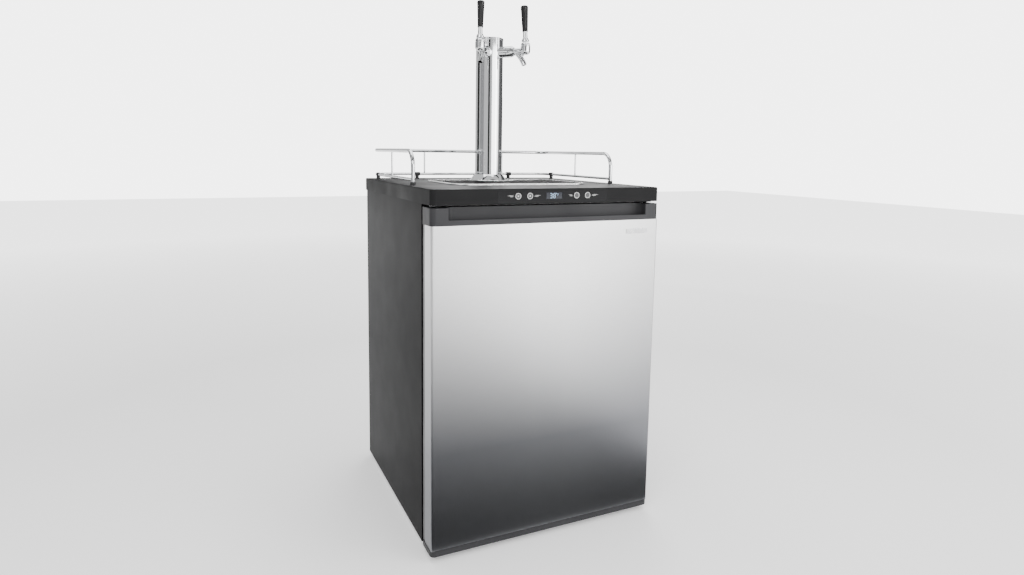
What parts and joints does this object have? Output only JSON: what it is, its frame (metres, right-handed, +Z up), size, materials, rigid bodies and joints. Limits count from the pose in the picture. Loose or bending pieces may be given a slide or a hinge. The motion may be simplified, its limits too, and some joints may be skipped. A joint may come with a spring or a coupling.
{
  "type": "kegerator",
  "caption": "Freestanding keg refrigerator with a foamed door, digital control strip, railed worktop, drip tray and a chromed draught tower with angled taps.",
  "frame": {"origin": "on the floor, under the centre of the overall box", "axes": "+Z up, -Y the side the door faces, +X to the right of someone who faces the door"},
  "size_m": [0.6, 0.6364, 1.3302],
  "materials": {
    "cabinet_paint": "satin",
    "galvanised_steel": "satin",
    "compressor_paint": "gloss",
    "stainless_door": "satin",
    "stainless_tray": "satin",
    "grille_coat": "satin",
    "worktop_plastic": "satin",
    "door_cap_plastic": "satin",
    "door_liner_plastic": "satin",
    "liner_plastic": "satin",
    "panel_plastic": "gloss",
    "display_glass": "gloss",
    "circuit_board": "satin",
    "button_plastic": "satin",
    "chrome": "polished",
    "handle_plastic": "gloss",
    "valve_steel": "satin",
    "screw_steel": "satin",
    "foot_steel": "satin",
    "black_rubber": "matte",
    "insulation_foam": "matte",
    "evaporator_aluminium": "satin",
    "fan_plastic": "satin",
    "cylinder_aluminium": "satin",
    "regulator_brass": "satin",
    "handwheel_plastic": "satin"
  },
  "bodies": {
    "cabinet": {"cabinet_wrapper": "cabinet_paint", "back_panel": "galvanised_steel", "base_pan": "galvanised_steel", "cabinet_foam": "insulation_foam", "inner_liner": "liner_plastic", "keg_floor_plate": "stainless_tray", "compressor": "compressor_paint", "condenser": "compressor_paint", "compressor_cover": "compressor_paint", "evaporator_cover": "liner_plastic", "evaporator_plate": "evaporator_aluminium", "fan_motor": "fan_plastic", "worktop": "worktop_plastic", "control_panel": "panel_plastic", "display_window": "display_glass", "control_board": "circuit_board", "rail_upper_tube": "chrome", "rail_lower_tube": "chrome", "rail_feet": "black_rubber", "tower_flange": "chrome", "tower_column": "chrome", "tower_cap": "chrome", "tower_insulation": "insulation_foam", "shanks": "chrome", "shank_nuts": "valve_steel", "coupling_nuts": "chrome", "bonnets": "chrome", "faucet_left": "chrome", "faucet_right": "chrome", "upper_hinge": "cabinet_paint", "lower_hinge": "cabinet_paint", "pan_screws": "screw_steel", "rear_feet": "black_rubber", "gas_cylinder": "cylinder_aluminium", "regulator": "regulator_brass"},
    "door": {"door_skin": "stainless_door", "door_foam": "insulation_foam", "door_liner": "door_liner_plastic", "door_top_cap": "door_cap_plastic", "door_bottom_cap": "door_cap_plastic", "door_gasket": "black_rubber"},
    "drip_tray": {"drip_tray": "stainless_tray"},
    "drip_grille": {"drip_grille": "grille_coat"},
    "fan": {"fan_rotor": "fan_plastic"},
    "handwheel": {"valve_handwheel": "handwheel_plastic"},
    "regulator_knob": {"regulator_knob": "handwheel_plastic"},
    "tap_lever_left": {"lever_left": "chrome", "ferrule_left": "chrome", "tap_handle_left": "handle_plastic"},
    "valve_left": {"valve_shaft_left": "valve_steel"},
    "foot_left": {"foot_front_left": "foot_steel"},
    "tap_lever_right": {"lever_right": "chrome", "ferrule_right": "chrome", "tap_handle_right": "handle_plastic"},
    "valve_right": {"valve_shaft_right": "valve_steel"},
    "foot_right": {"foot_front_right": "foot_steel"},
    "button_cooler": {"button_cooler": "button_plastic"},
    "button_warmer": {"button_warmer": "button_plastic"},
    "button_unit": {"button_unit": "button_plastic"},
    "button_power": {"button_power": "button_plastic"}
  },
  "joints": [
    {"name": "door_hinge", "type": "hinge", "parent": "cabinet", "child": "door", "pos_m": [0.278, -0.288, 0.4], "axis": [0, 0, 1], "range_deg": [0, 115]},
    {"name": "drip_tray_lift", "type": "slide", "parent": "cabinet", "child": "drip_tray", "axis": [0, 0, 1], "range_m": [0, 0.1]},
    {"name": "drip_grille_lift", "type": "slide", "parent": "drip_tray", "child": "drip_grille", "axis": [0, 0, 1], "range_m": [0, 0.06]},
    {"name": "fan_spin", "type": "hinge", "parent": "cabinet", "child": "fan", "pos_m": [0.113, 0.2113, 0.6753], "axis": [0, 1, 0], "continuous": true},
    {"name": "handwheel_turn", "type": "hinge", "parent": "cabinet", "child": "handwheel", "pos_m": [-0.168, 0.1758, 0.6675], "axis": [0, 0, 1], "range_deg": [0, 720]},
    {"name": "pressure_knob_turn", "type": "hinge", "parent": "cabinet", "child": "regulator_knob", "pos_m": [-0.092, 0.1338, 0.6395], "axis": [0, -1, 0], "range_deg": [-720, 720]},
    {"name": "tap_lever_left", "type": "hinge", "parent": "cabinet", "child": "tap_lever_left", "pos_m": [-0.06642, -0.01642, 1.224], "axis": [0.809, -0.5878, 0], "range_deg": [0, 32]},
    {"name": "valve_slide_left", "type": "slide", "parent": "cabinet", "child": "valve_left", "axis": [-0.5878, -0.809, 0], "range_m": [-0.0065, 0]},
    {"name": "foot_turn_left", "type": "hinge", "parent": "cabinet", "child": "foot_left", "pos_m": [-0.269, -0.219, 0.01], "axis": [0, 0, 1], "range_deg": [0, 720]},
    {"name": "tap_lever_right", "type": "hinge", "parent": "cabinet", "child": "tap_lever_right", "pos_m": [0.06642, -0.01642, 1.224], "axis": [0.809, 0.5878, 0], "range_deg": [0, 32]},
    {"name": "valve_slide_right", "type": "slide", "parent": "cabinet", "child": "valve_right", "axis": [0.5878, -0.809, 0], "range_m": [-0.0065, 0]},
    {"name": "foot_turn_right", "type": "hinge", "parent": "cabinet", "child": "foot_right", "pos_m": [0.269, -0.219, 0.01], "axis": [0, 0, 1], "range_deg": [0, 720]},
    {"name": "press_cooler", "type": "slide", "parent": "cabinet", "child": "button_cooler", "axis": [0, 1, 0], "range_m": [0, 0.0008], "stiffness_N_per_m": 1200},
    {"name": "press_warmer", "type": "slide", "parent": "cabinet", "child": "button_warmer", "axis": [0, 1, 0], "range_m": [0, 0.0008], "stiffness_N_per_m": 1200},
    {"name": "press_unit", "type": "slide", "parent": "cabinet", "child": "button_unit", "axis": [0, 1, 0], "range_m": [0, 0.0008], "stiffness_N_per_m": 1200},
    {"name": "press_power", "type": "slide", "parent": "cabinet", "child": "button_power", "axis": [0, 1, 0], "range_m": [0, 0.0008], "stiffness_N_per_m": 1200}
  ],
  "couplings": [
    {"joint": "valve_slide_left", "follows": "tap_lever_left", "m_per_rad": -0.0115},
    {"joint": "valve_slide_right", "follows": "tap_lever_right", "m_per_rad": -0.0115}
  ]
}
